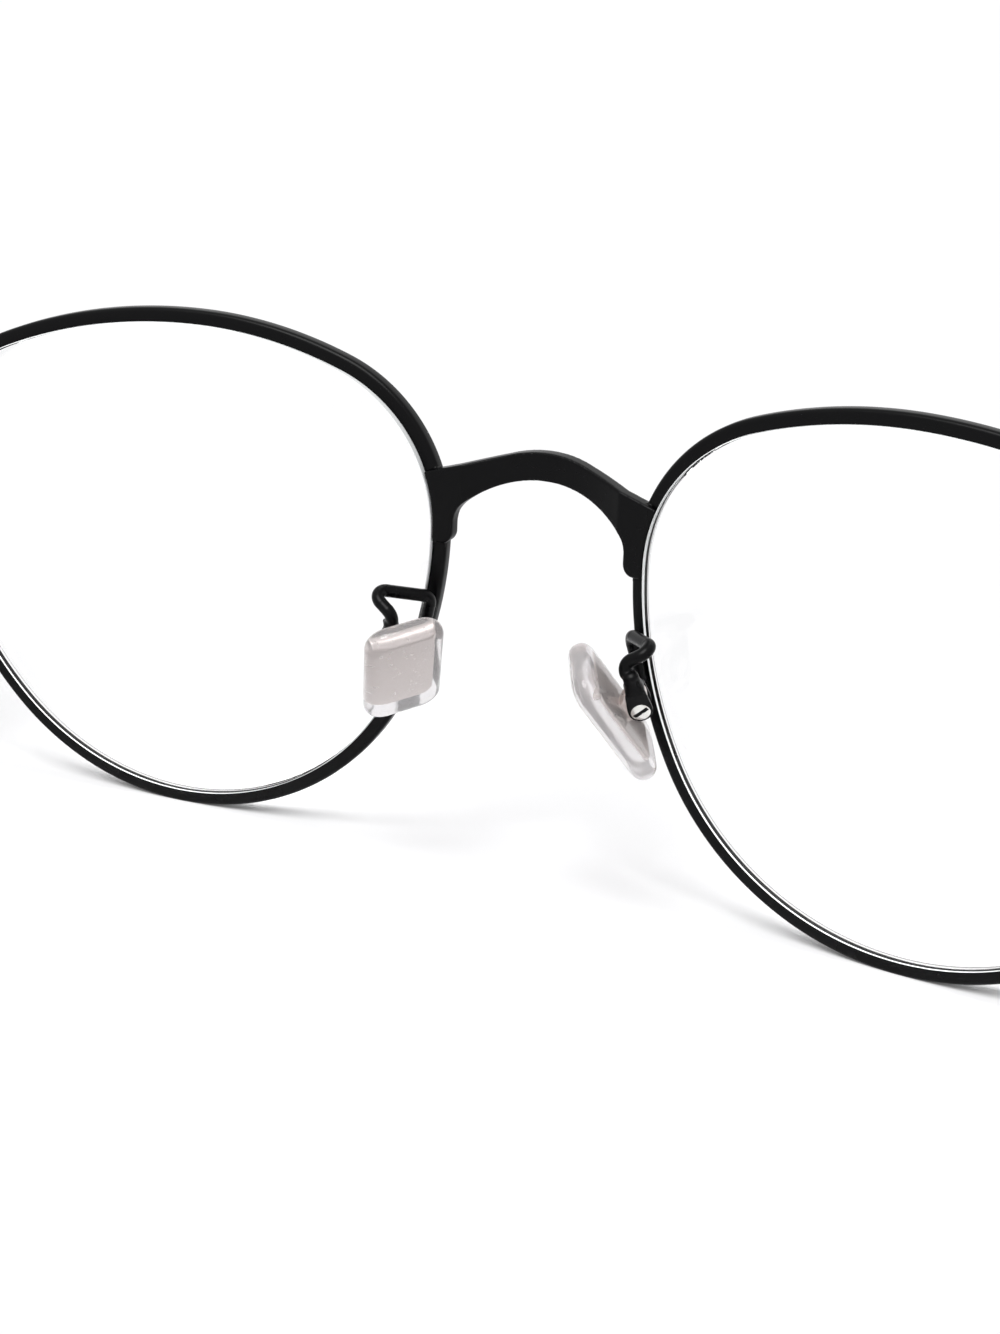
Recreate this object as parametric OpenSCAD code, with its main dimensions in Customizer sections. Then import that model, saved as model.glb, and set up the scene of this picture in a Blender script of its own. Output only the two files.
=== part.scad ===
// Full-rim metal spectacles, seen open and standing on the rims and the temple tips.
// Millimetres. +X is the wearer's right, +Y is forward, away from the wearer, +Z is up.

/* [Lens and rim] */
// Width of the rim wire's centre line, one eye
rim_box_width = 50.8; // [44:0.1:58]
// Height of the rim wire's centre line, one eye
rim_box_height = 44.9; // [30:0.1:52]
// Gap between the two rims' centre lines at the nose
rim_gap = 18.4; // [14:0.1:24]
// Face-form angle: each front turns back towards the ear
wrap = 4.6; // [0:0.1:12]
// Sideways place of the rim's top point from the lens middle, + is outwards
top_x = -2.5; // [-8:0.1:8]
// Sideways place of the rim's bottom point from the lens middle
bottom_x = -0.2; // [-8:0.1:8]
// Height of the rim's widest point on the ear side above the lens middle
ear_side_z = 6.0; // [-5:0.1:10]
// Height of the rim's widest point on the nose side above the lens middle
nose_side_z = 6.8; // [-5:0.1:10]
// Turn of the joint between the two arcs, from the vertical: top ear side
split_top_ear = 23.6; // [10:0.1:80]
// Same, top nose side
split_top_nose = 20.0; // [10:0.1:80]
// Same, bottom nose side
split_low_nose = 62.1; // [10:0.1:80]
// Same, bottom ear side
split_low_ear = 44.5; // [10:0.1:80]
// Rim wire, thickness seen from the front
rim_thick = 1.05; // [0.6:0.05:2]
// Rim wire, front to back
rim_depth = 1.2; // [0.8:0.05:3]
// Rounding of the rim wire's outer corners
rim_round = 0.2; // [0.1:0.05:0.5]
// Depth of the V groove inside the rim
groove_depth = 0.42; // [0.2:0.01:0.8]
// Half height of the V groove at its mouth
groove_half = 0.45; // [0.2:0.01:0.8]
// Radius of the lens's curved front
lens_radius = 260; // [80:5:600]
// Lens thickness
lens_thick = 1.6; // [1:0.1:3]

/* [Bridge] */
// Height of the underside of the arch above the lens middle, at the centre
arch_under_z = 12.1; // [4:0.1:18]
// Height of the arch plate at the centre
arch_tall = 2.45; // [1:0.05:6]
// Radius of the arch's underside
arch_under_r = 10.8; // [6:0.1:20]
// Radius of the arch's top
arch_top_r = 11.5; // [6:0.1:30]
// Half width over which the top is round, before it runs straight to the rim
arch_top_half = 3.2; // [2:0.1:8]
// Slope of the straight part of the top, degrees below level
arch_top_slope = 17; // [0:0.5:45]
// Half width of the opening between the two legs
leg_inner_x = 7.85; // [6:0.05:10]
// Radius of the corner between arch and leg
arch_corner_r = 2.5; // [1:0.1:5]
// Height of the legs' lower ends above the lens middle
leg_end_z = 5.75; // [0:0.1:10]
// Rounding of the legs' lower ends
leg_end_r = 1.1; // [0.3:0.1:1.4]
// Bow of the bridge forward of its legs: radius in plan
bow_r = 17.5; // [10:0.5:60]
// Front of the bridge ahead of the lens plane, at the centre
bow_front = 4.1; // [0:0.1:8]
// Front of the legs ahead of the rims' middle plane
leg_front = 0.2; // [-0.5:0.05:1]
// Thickness of the bridge plate, front to back
bridge_thick = 1.3; // [0.8:0.05:3]

/* [Nose pads] */
// Middle of the pad, sideways from the centre
pad_x = 9.67; // [6:0.05:14]
// Middle of the pad, ahead of the lens plane (minus is behind it)
pad_y = -3.62; // [-10:0.05:4]
// Middle of the pad, above the lens middle
pad_z = -4.29; // [-14:0.05:6]
// Pad's lean, turned about X first
pad_lean = 33.2; // [0:0.1:60]
// Pad's roll, turned about Y next
pad_roll = 22.1; // [-40:0.1:60]
// Pad's toe-in, turned about Z last
pad_toe = -59.0; // [-90:0.1:0]
// How far the left pad stands turned about its long way against the right one
left_pad_turn = 16.0; // [-20:0.1:20]
// Pad length
pad_long = 12.7; // [9:0.1:18]
// Pad width
pad_wide = 6.9; // [5:0.1:10]
// Pad thickness
pad_thick = 2.25; // [1.6:0.05:4]
// Pad corner radius seen face on
pad_corner = 1.4; // [1:0.05:4]
// Rounding of the pad's edges
pad_edge = 0.85; // [0.3:0.05:1.1]
// Metal core, length
core_long = 10.4; // [6:0.1:14]
// Metal core, width
core_wide = 4.9; // [3:0.1:8]
// Metal core, thickness
core_thick = 0.45; // [0.3:0.05:1]
// Metal core, corner radius seen face on
core_corner = 0.9; // [0.4:0.05:1.5]
// Radius of the lug's end round its screw
lug_r = 0.8; // [0.7:0.05:1.2]

/* [Pad arm and box] */
// Diameter of the pad arm wire
arm_d = 1.1; // [0.7:0.05:1.4]
// Inner bend radius of the pad arm, to the wire's middle
arm_bend_r = 0.85; // [0.6:0.05:1.2]
// How much higher the left arm's loop stands, as bent by hand
left_loop_rise = 0.45; // [0:0.05:1]
// Screw axis behind the middle of the pad
axis_back = 2.3; // [1.8:0.05:4]
// Screw axis below the middle of the pad, along the pad
axis_drop = 0.5; // [-3:0.1:3]
// Tilt of the box away from the pad
box_tilt = 14; // [0:1:30]
// Length of the box above the screw axis
box_long = 3.2; // [2:0.1:6]
// Radius of the cheeks' round lower ends
cheek_r = 0.97; // [0.8:0.01:1.5]
// Half width of the cheeks above them
cheek_half = 0.85; // [0.6:0.05:1.4]
// Thickness of a cheek
cheek_thick = 0.35; // [0.25:0.05:0.6]
// Thickness of the lug between the cheeks
lug_thick = 0.95; // [0.6:0.05:1.4]
// Height of the lug above the screw axis
lug_tall = 1.9; // [1:0.1:4]
// Clearance on each side of the lug
lug_clearance = 0.05; // [0.02:0.01:0.1]
// Pad screw shank, radius
pad_screw_r = 0.5; // [0.4:0.05:0.8]
// Running clearance round the pad screw
screw_clearance = 0.05; // [0.02:0.01:0.1]
// Screw head, radius
pad_head_r = 0.82; // [0.6:0.02:1.2]

/* [End piece and hinge] */
// Height of the hinge's middle above the lens middle
hinge_rise = 6.3; // [0:0.1:12]
// Height of the end piece
end_tall = 3.0; // [2:0.1:6]
// Thickness of the end piece and of the temple bar
strip_thick = 1.1; // [0.8:0.05:2]
// Middle of the temple bar outside the rim's middle line, at the ear side
temple_out = 7.4; // [5:0.1:12]
// Sideways length of the closing block
block_long = 2.9; // [2:0.1:5]
// Front to back size of the closing block
block_deep = 2.0; // [1.6:0.1:3]
// Height of the lower half of the closing block
block_tall = 1.7; // [1:0.1:3]
// Closing screw shank, radius
closing_screw_r = 0.5; // [0.4:0.05:0.8]
// Head radius of the closing and hinge screws
small_head_r = 0.85; // [0.7:0.05:1.2]
// Head height of the closing and hinge screws
small_head = 0.4; // [0.3:0.05:0.6]
// Slot width of all screws
slot_wide = 0.25; // [0.2:0.01:0.4]
// Bend radius of the end piece
end_bend = 2.5; // [1.5:0.1:6]
// Hinge axis behind the lens plane
hinge_back = 9.1; // [6:0.1:14]
// Radius of the hinge barrels
barrel_r = 1.0; // [0.8:0.05:2]
// Gap between the barrels and the strip beside them, and between barrels
barrel_gap = 0.1; // [0.05:0.05:0.3]
// Hinge screw shank, radius
hinge_screw_r = 0.5; // [0.4:0.05:0.9]
// Gap between the end piece and the front of the temple bar
butt_gap = 0.15; // [0.1:0.05:0.5]
// Gap where the rim is split for fitting the lens
rim_split = 0.15; // [0.05:0.05:0.4]

/* [Temples] */
// Slope of the temple bar down to the rear
temple_slope = 4; // [0:0.5:12]
// Length from the hinge to the start of the ear bend
bend_start = 97; // [80:1:110]
// Ear bend, degrees
ear_bend = 30; // [15:1:50]
// Ear bend, radius
ear_bend_r = 32; // [20:1:50]
// Height of the temple bar
bar_tall = 2.6; // [1.5:0.1:5]
// Length from the hinge to the front of the tip
tip_start = 84; // [70:1:96]
// Height of the tip
tip_tall = 5.0; // [3:0.1:8]
// Thickness of the tip
tip_thick = 2.4; // [2:0.1:4]
// Diameter of the core wire inside the tip
core_wire_d = 1.3; // [1:0.05:1.8]
// Clearance of the tip on its core wire
tip_clearance = 0.02; // [0.01:0.01:0.05]

/* [Hidden] */
$fn = 64;

half_w = rim_box_width / 2;
half_h = rim_box_height / 2;
lens_x = rim_gap / 2 + half_w * cos(wrap);
lens_z = half_h + rim_thick / 2;
hinge_z = lens_z + hinge_rise;
nose_x = rim_gap / 2;
nose_y = half_w * sin(wrap);
ear_x = lens_x + half_w * cos(wrap);
ear_y = -half_w * sin(wrap);
temple_x = ear_x + temple_out;
hinge_x = temple_x - strip_thick / 2 - barrel_r - barrel_gap;
face_x = temple_x - strip_thick / 2;
tail_turn = temple_slope + ear_bend;
straight_drop = bend_start * sin(temple_slope);
arc_drop = ear_bend_r * (cos(temple_slope) - cos(tail_turn));
tail_long = (hinge_z - straight_drop - arc_drop - tip_tall / 2) / sin(tail_turn);
tail_run = bend_start * cos(temple_slope) + ear_bend_r * (sin(tail_turn) - sin(temple_slope))
    + tail_long * cos(tail_turn) + tip_tall / 2;
front_y = (hinge_back + tail_run - bow_front) / 2;
edge_gap = 0.025;
lens_edge = -rim_thick / 2 - edge_gap;
bevel_deep = groove_depth - 0.04;
bevel_half = groove_half - 0.07;
lens_apex = lens_thick / 2 + half_w * half_h / (2 * lens_radius);
past = 5; // how far a cutting or meeting body reaches past its work

// Two tangent arcs of one quadrant, from its width, its height and the turn of their joint
function near_r(w, h, s) = (w * cos(s) - h * (1 - sin(s))) / (sin(s) + cos(s) - 1);
function side_r(w, h, s) = (h * sin(s) - w * (1 - cos(s))) / (sin(s) + cos(s) - 1);
// One quadrant as two arcs, each [centre x, centre z, radius, start angle, end angle]
function quadrant(px, pz, sx, sz, w, h, s, a0) =
    let (r1 = near_r(w, h, s), r2 = side_r(w, h, s))
    let (c1 = [px, pz - sz * r1])
    let (c2 = [px + sx * (r1 - r2) * sin(s), c1[1] + sz * (r1 - r2) * cos(s)])
    (sx * sz > 0)
        ? [[c2[0], c2[1], r2, a0, a0 + 90 - s], [c1[0], c1[1], r1, a0 + 90 - s, a0 + 90]]
        : [[c1[0], c1[1], r1, a0, a0 + s], [c2[0], c2[1], r2, a0 + s, a0 + 90]];
arcs = concat(
    quadrant(top_x, half_h, 1, 1, half_w - top_x, half_h - ear_side_z, split_top_ear, 0),
    quadrant(top_x, half_h, -1, 1, half_w + top_x, half_h - nose_side_z, split_top_nose, 90),
    quadrant(bottom_x, -half_h, -1, -1, half_w + bottom_x, half_h + nose_side_z, split_low_nose, 180),
    quadrant(bottom_x, -half_h, 1, -1, half_w - bottom_x, half_h + ear_side_z, split_low_ear, 270));
all_arcs = [for (i = [0:len(arcs) - 1]) i];
nose_arcs = [len(arcs) / 2 - 1, len(arcs) / 2];
ear_arcs = [len(arcs) - 1, 0];
outline_steps = 10;
collar = 0.08;
hair = 0.003;
bead = 0.015;
function arc_point(a, t, off) = [a[0] + (a[2] + off) * cos(t), a[1] + (a[2] + off) * sin(t)];

// Turns used to find points on a placed pad
function turn_x(v, a) = [v[0], v[1] * cos(a) - v[2] * sin(a), v[1] * sin(a) + v[2] * cos(a)];
function turn_y(v, a) = [v[0] * cos(a) + v[2] * sin(a), v[1], v[2] * cos(a) - v[0] * sin(a)];
function turn_z(v, a) = [v[0] * cos(a) - v[1] * sin(a), v[0] * sin(a) + v[1] * cos(a), v[2]];
function pad_turned(v, t) = turn_z(turn_y(turn_x(turn_z(v, t), pad_lean), pad_roll), pad_toe);
function pad_point(v, t) = [pad_x, pad_y, lens_z + pad_z] + pad_turned(v, t);
function unit(v) = v / norm(v);

axis_z = -axis_drop;
box_up = [0, sin(box_tilt), cos(box_tilt)];
box_out = [0, cos(box_tilt), -sin(box_tilt)];
box_half = lug_thick / 2 + lug_clearance + cheek_thick;
box_cap = 0.9;
head_tall = 0.25;
wire_end = [0, axis_back, axis_z] + (box_long - box_cap / 4) * box_up;

// Placing
module placed() { translate([0, front_y, 0]) children(); }
module left_side() { mirror([1, 0, 0]) children(); }
module lens_frame() { translate([lens_x, 0, lens_z]) rotate([0, 0, -wrap]) children(); }
module pad_frame(turn) {
    translate([pad_x, pad_y, lens_z + pad_z])
        rotate([pad_lean, pad_roll, pad_toe]) rotate([0, 0, turn]) children();
}

// Sweeps a flat section along arcs of the rim's centre line, the first child. The second child is
// the same section a hair larger, for the short collars that join one arc to the next.
module swept(list) {
    for (i = list) {
        a = arcs[i];
        rotate([90, 0, 0]) translate([a[0], a[1], 0]) rotate([0, 0, a[3]]) {
            rotate_extrude(angle = a[4] - a[3]) translate([a[2], 0]) children(0);
            if (len(list) == len(arcs) || i != list[0])
                translate([a[2], 0, 0]) rotate([90, 0, 0])
                    linear_extrude(collar, center = true) children(1);
        }
    }
}

// Flat shape inside the rim's centre line moved outwards by off
module outline(off) {
    polygon([for (a = arcs) for (i = [0:outline_steps - 1])
        arc_point(a, a[3] + (a[4] - a[3]) * i / outline_steps, off)]);
}
module outline_block(off, y0, y1) {
    translate([0, y1, 0]) rotate([90, 0, 0]) linear_extrude(y1 - y0) outline(off);
}

// The rim wire's section; g makes it a hair larger all round
module rim_section(g) {
    t = rim_thick / 2 + g;
    d = rim_depth / 2 + g;
    difference() {
        union() {
            translate([-t, -d]) square([2 * t - rim_round, 2 * d]);
            translate([0, -d + rim_round]) square([t, 2 * d - 2 * rim_round]);
            for (s = [-1, 1]) translate([t - rim_round, s * (d - rim_round)]) circle(rim_round);
        }
        polygon([[-rim_thick / 2 - 0.2, -groove_half - 0.2 + g],
            [-rim_thick / 2 + groove_depth - g, 0],
            [-rim_thick / 2 - 0.2, groove_half + 0.2 - g]]);
    }
}

module rim() {
    color("#17181a") placed() difference() {
        lens_frame() swept(all_arcs) { rim_section(0); rim_section(hair); }
        translate([ear_x - past, ear_y - past, block_low]) cube([2 * past, 2 * past, rim_split]);
    }
}

// What the rim and the lens take away from the pieces soldered on, along some of the arcs
module room_section(g) {
    t = rim_thick / 2;
    translate([-t - past, -rim_depth / 2 - g]) square([2 * t + past + g, rim_depth + 2 * g]);
    translate([-t - past, -past]) square([past + g, 2 * past]);
}
module rim_room(list) { lens_frame() swept(list) { room_section(0); room_section(hair); } }
module ring_section(g) { square([rim_thick + 2 * g, rim_depth + 2 * g], center = true); }
module rim_ring(list) { lens_frame() swept(list) { ring_section(0); ring_section(hair); } }

module lens() {
    color("#dfe6ea") placed() lens_frame() {
        intersection() {
            outline_block(lens_edge, -past, past);
            difference() {
                translate([0, lens_apex - lens_radius, 0]) sphere(lens_radius);
                translate([0, lens_apex - lens_radius, 0]) sphere(lens_radius - lens_thick);
            }
        }
        swept(all_arcs) { bevel_section(0); bevel_section(hair); }
    }
}
module bevel_section(g) {
    polygon([[lens_edge - 0.1, -bevel_half - 0.1 - g], [lens_edge + bevel_deep + g, 0],
        [lens_edge - 0.1, bevel_half + 0.1 + g]]);
}

// The bridge: an arch with legs, cut out of a plate that is bowed forward between the rims
arch_z = lens_z + arch_under_z;
under_c = arch_z - arch_under_r;
corner_x = leg_inner_x - arch_corner_r;
corner_z = under_c + sqrt(pow(arch_under_r - arch_corner_r, 2) - pow(corner_x, 2));
top_z = arch_z + arch_tall;
top_c = top_z - arch_top_r;
slope_x = arch_top_r * sin(arch_top_slope - 2);
slope_z = top_c + arch_top_r * cos(arch_top_slope - 2);
leg_z = lens_z + leg_end_z;
leg_outer_x = nose_x + 2.3;
far_z = slope_z - (leg_outer_x - slope_x) * tan(arch_top_slope);
module deep() { translate([0, bow_r, 0]) rotate([90, 0, 0]) linear_extrude(2 * bow_r) children(); }
module arch_outer() {
    deep() polygon([[-slope_x, slope_z], [slope_x, slope_z], [leg_outer_x, far_z],
        [leg_outer_x, leg_z], [leg_inner_x + leg_end_r, leg_z], [leg_inner_x, leg_z + leg_end_r],
        [-leg_inner_x, leg_z + leg_end_r], [-leg_inner_x - leg_end_r, leg_z],
        [-leg_outer_x, leg_z], [-leg_outer_x, far_z]]);
    intersection() {
        deep() translate([0, top_c]) circle(arch_top_r);
        deep() translate([-2 * slope_x, slope_z - arch_tall / 2]) square([4 * slope_x, arch_tall + past]);
    }
    for (s = [-1, 1])
        deep() translate([s * (leg_inner_x + leg_end_r), leg_z + leg_end_r])
            circle(leg_end_r + hair);
}
module arch_opening() {
    meet_x = corner_x * arch_under_r / (arch_under_r - arch_corner_r);
    intersection() {
        deep() translate([0, under_c]) circle(arch_under_r);
        deep() translate([-meet_x, corner_z - arch_corner_r / 5])
            square([2 * meet_x, arch_under_r]);
    }
    for (s = [-1, 1]) deep() translate([s * corner_x, corner_z]) circle(arch_corner_r + hair);
    deep() translate([-leg_inner_x, leg_z - past]) square([2 * leg_inner_x, corner_z - leg_z + past]);
}
// All that lies behind one face of the plate: a drum for the bow and, where they come further
// forward, planes parallel to the rims for the legs
module behind(r, front, far) {
    middle = (lens_x * sin(wrap) + front) / cos(wrap);
    side = middle - far * tan(wrap);
    tall = top_z - leg_z + 2 * far;
    translate([0, bow_front - bow_r, leg_z - far]) cylinder(r = r, h = tall);
    translate([0, 0, leg_z - far]) linear_extrude(tall)
        polygon([[0, middle], [far, side], [far, -far], [-far, -far], [-far, side]]);
}
module bridge() {
    color("#17181a") placed() difference() {
        intersection() {
            arch_outer();
            difference() {
                union() behind(bow_r, leg_front, 2 * bow_r);
                behind(bow_r - bridge_thick, leg_front - bridge_thick, 3 * bow_r);
            }
        }
        arch_opening();
        rim_room(nose_arcs);
        left_side() rim_room(nose_arcs);
    }
}

// A round wire along straight runs with one bend radius at every inner point
module bent_wire(p, r, d) {
    n = len(p);
    t = [for (i = [0:n - 1]) (i == 0 || i == n - 1) ? 0
        : r * tan(acos(unit(p[i] - p[i - 1]) * unit(p[i + 1] - p[i])) / 2)];
    for (i = [0:n - 2]) {
        u = unit(p[i + 1] - p[i]);
        rod(p[i] + t[i] * u, p[i + 1] - t[i + 1] * u, d);
    }
    for (i = [1:n - 2]) {
        a = unit(p[i] - p[i - 1]);
        b = unit(p[i + 1] - p[i]);
        m = unit(b - a * (a * b));
        k = cross(a, b) / norm(cross(a, b));
        c = p[i] - a * t[i] + r * m;
        turn = acos(a * b);
        multmatrix([[-m[0], a[0], k[0], c[0]], [-m[1], a[1], k[1], c[1]],
            [-m[2], a[2], k[2], c[2]], [0, 0, 0, 1]]) {
            rotate_extrude(angle = turn) translate([r, 0]) circle(d / 2);
            for (e = [0, turn]) rotate([0, 0, e]) translate([r, 0, 0]) sphere(d / 2 + bead);
        }
    }
}
module rod(p, q, d) {
    w = unit(q - p);
    s = abs(w[2]) < 0.9 ? unit(cross(w, [0, 0, 1])) : unit(cross(w, [1, 0, 0]));
    k = cross(w, s);
    multmatrix([[s[0], k[0], w[0], p[0]], [s[1], k[1], w[1], p[1]],
        [s[2], k[2], w[2], p[2]], [0, 0, 0, 1]]) cylinder(d = d, h = norm(q - p));
}

arm_foot = [nose_x + 1.1, nose_y - 1.05, lens_z - 2.9];
arm_rise = [nose_x + 0.05, nose_y - 1.65, lens_z + 1.15];
arm_loop = [nose_x + 4.0, nose_y - 5.75, lens_z + 1.85];
arm_turn = [nose_x + 0.1, nose_y - 6.15, lens_z - 0.55];
module pad_arm(turn, rise) {
    loop = arm_loop + [0, 0, rise];
    color("#17181a") placed() difference() {
        bent_wire([arm_foot, arm_rise, loop, arm_turn, pad_point(wire_end, turn)], arm_bend_r, arm_d);
        rim_ring(nose_arcs);
        pad_frame(turn) box_room();
    }
}

// The folded box, drawn in the pad's own frame: X along the screw, Y away from the nose, Z up
module box_side(x0, x1, out0, out1, up0, up1) {
    translate([0, axis_back, axis_z]) rotate([-box_tilt, 0, 0])
        translate([x0, out0, up0]) cube([x1 - x0, out1 - out0, up1 - up0]);
}
module box_room() {
    box_side(-box_half - arm_d, box_half + arm_d, -cheek_half - arm_d, cheek_half + arm_d, 0, box_long);
}
module along_screw(x0, x1, r) {
    translate([x0, axis_back, axis_z]) rotate([0, 90, 0]) cylinder(r = r, h = x1 - x0);
}
module box_shape() {
    in = box_half - cheek_thick;
    difference() {
        union() {
            for (s = [-1, 1]) {
                x0 = s > 0 ? in : -box_half;
                along_screw(x0, x0 + cheek_thick, cheek_r);
                box_side(x0, x0 + cheek_thick, -cheek_half, cheek_half, 0, box_long);
            }
            box_side(-in, in, -cheek_half, cheek_half, box_long - box_cap, box_long);
        }
        along_screw(-box_half - 1, box_half + 1, pad_screw_r + screw_clearance);
    }
}
module pad_box(turn) { color("#17181a") placed() pad_frame(turn) box_shape(); }

module pad_screw(turn) {
    color("#c9c9c6") placed() pad_frame(turn) difference() {
        union() {
            along_screw(-box_half - 0.15, box_half, pad_screw_r);
            along_screw(box_half, box_half + head_tall, pad_head_r);
        }
        translate([box_half + head_tall, axis_back, axis_z]) rotate([35, 0, 0])
            cube([head_tall, slot_wide, 4 * pad_head_r], center = true);
    }
}

module flat_plate(long, wide, thick, corner) {
    rotate([90, 0, 0]) linear_extrude(thick, center = true) {
        square([wide - 2 * corner, long], center = true);
        square([wide, long - 2 * corner], center = true);
        for (sx = [-1, 1], sz = [-1, 1])
            translate([sx * (wide / 2 - corner), sz * (long / 2 - corner)]) circle(corner);
    }
}
core_y = pad_thick / 2 - core_thick / 2;
module core_plate() {
    translate([0, core_y, 0]) flat_plate(core_long, core_wide, core_thick, core_corner);
}
module pad_core(turn) {
    back = pad_thick / 2 - 0.1;
    color("#d8cfcc") placed() pad_frame(turn) difference() {
        union() {
            core_plate();
            along_screw(-lug_thick / 2, lug_thick / 2, lug_r);
            translate([-lug_thick / 2, back, axis_z - lug_r])
                cube([lug_thick, axis_back - back, 2 * lug_r]);
            box_side(-lug_thick / 2, lug_thick / 2, -lug_r, lug_r, 0, lug_tall);
        }
        along_screw(-lug_thick, lug_thick, pad_screw_r + screw_clearance);
    }
}

// A pad with rounded corners and rounded edges
module soft_slab() {
    e = pad_edge;
    c = pad_corner;
    x = pad_wide / 2;
    z = pad_long / 2;
    y = pad_thick / 2 - e;
    flat_plate(pad_long - 2 * hair, pad_wide - 2 * hair, 2 * y, c - hair);
    flat_plate(pad_long - 2 * e, pad_wide - 2 * e, pad_thick - 2 * hair, c - e);
    for (sy = [-1, 1]) {
        for (s = [-1, 1]) {
            translate([s * (x - e), sy * y, 0]) cylinder(r = e, h = pad_long - 2 * c, center = true);
            translate([0, sy * y, s * (z - e)]) rotate([0, 90, 0])
                cylinder(r = e, h = pad_wide - 2 * c, center = true);
        }
        for (sx = [-1, 1], sz = [-1, 1])
            translate([sx * (x - c), sy * y, sz * (z - c)]) rotate([90, 0, 0])
                rotate_extrude() intersection() {
                    translate([c - e, 0]) circle(e + hair);
                    translate([0, -pad_thick]) square(2 * pad_thick);
                }
    }
}
module nose_pad(turn) {
    color("#e8ecec") placed() pad_frame(turn) difference() {
        soft_slab();
        translate([0, core_y + 0.1, 0])
            flat_plate(core_long, core_wide, core_thick + 0.2, core_corner);
    }
}

// End piece with its half of the closing block, bent back to the hinge
block_x = ear_x + 0.1;
block_y = ear_y - 0.15 - block_deep / 2;
screw_spot = [block_x + 1.7, block_y + block_deep / 2];
screw_up = 2.2;
lap = 0.5;
butt_ahead = 0.1;
module end_piece() {
    y = ear_y + 0.15;
    x = temple_x - end_bend;
    t = strip_thick / 2;
    color("#17181a") placed() difference() {
        translate([0, 0, hinge_z - end_tall / 2]) linear_extrude(end_tall) {
            translate([block_x, block_y]) square([block_long, block_deep]);
            translate([block_x + block_long - lap, y - t]) square([x - block_x - block_long + lap, 2 * t]);
            intersection() {
                translate([x, y - end_bend]) difference() {
                    circle(end_bend + t);
                    circle(end_bend - t);
                }
                translate([x, y - end_bend]) square(end_bend + t + past);
            }
            translate([temple_x - t, -hinge_back + butt_ahead])
                square([2 * t, hinge_back - butt_ahead + y - end_bend]);
        }
        rim_room(ear_arcs);
        translate([screw_spot[0], screw_spot[1], hinge_z - end_tall / 2 - lap])
            cylinder(r = closing_screw_r, h = screw_up + lap);
    }
}
block_low = hinge_z - end_tall / 2 - rim_split;
module closing_block() {
    color("#17181a") placed() difference() {
        translate([block_x, block_y, block_low - block_tall]) cube([block_long, block_deep, block_tall]);
        rim_room(ear_arcs);
        translate([screw_spot[0], screw_spot[1], block_low - past])
            cylinder(r = closing_screw_r + screw_clearance, h = 2 * past);
    }
}
module closing_screw() {
    z = block_low - block_tall - small_head;
    color("#c9c9c6") placed() difference() {
        translate([screw_spot[0], screw_spot[1], z]) {
            cylinder(r = small_head_r, h = small_head);
            cylinder(r = closing_screw_r, h = small_head + block_tall + rim_split + screw_up - 0.2);
        }
        translate([screw_spot[0], screw_spot[1], z]) cube([past, slot_wide, small_head], center = true);
    }
}

// Three-barrel hinge: two barrels on the end piece, one on the temple
barrel_mid = 0.55;
barrel_end = 1.6;
leaf_front = 3.4;
leaf_back = 4.2;
module barrel(z0, z1) {
    translate([hinge_x, -hinge_back, hinge_z + z0]) cylinder(r = barrel_r, h = z1 - z0);
}
module leaf(y0, y1, z0, z1) {
    translate([hinge_x, y0, hinge_z + z0]) cube([face_x - hinge_x, y1 - y0, z1 - z0]);
}
module hinge_hole() {
    translate([hinge_x, -hinge_back, hinge_z - past])
        cylinder(r = hinge_screw_r + screw_clearance, h = 2 * past);
}
module hinge_front() {
    near = barrel_mid + barrel_gap;
    color("#17181a") placed() difference() {
        for (z = [[near, barrel_end], [-barrel_end, -near]]) {
            barrel(z[0], z[1]);
            leaf(-hinge_back, -hinge_back + leaf_front, z[0], z[1]);
        }
        hinge_hole();
    }
}
module hinge_temple() {
    color("#17181a") placed() difference() {
        union() {
            barrel(-barrel_mid, barrel_mid);
            leaf(-hinge_back - leaf_back, -hinge_back, -barrel_mid, barrel_mid);
        }
        hinge_hole();
    }
}
module hinge_screw() {
    color("#c9c9c6") placed() difference() {
        translate([hinge_x, -hinge_back, hinge_z - barrel_end]) {
            cylinder(r = hinge_screw_r, h = 2 * barrel_end + 0.1);
            translate([0, 0, 2 * barrel_end]) cylinder(r = small_head_r, h = small_head);
        }
        translate([hinge_x, -hinge_back, hinge_z + barrel_end + small_head])
            cube([slot_wide, past, small_head], center = true);
    }
}

core_end = tail_long - tip_tall / 2;
// A frame that runs back and down along the temple
module temple_frame() {
    translate([temple_x, -hinge_back, hinge_z]) rotate([90 + temple_slope, 0, 0]) children();
}
module oblong(tall, thick) {
    square([thick, tall - thick], center = true);
    for (s = [-1, 1]) translate([0, s * (tall - thick) / 2]) circle(d = thick);
}
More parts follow.
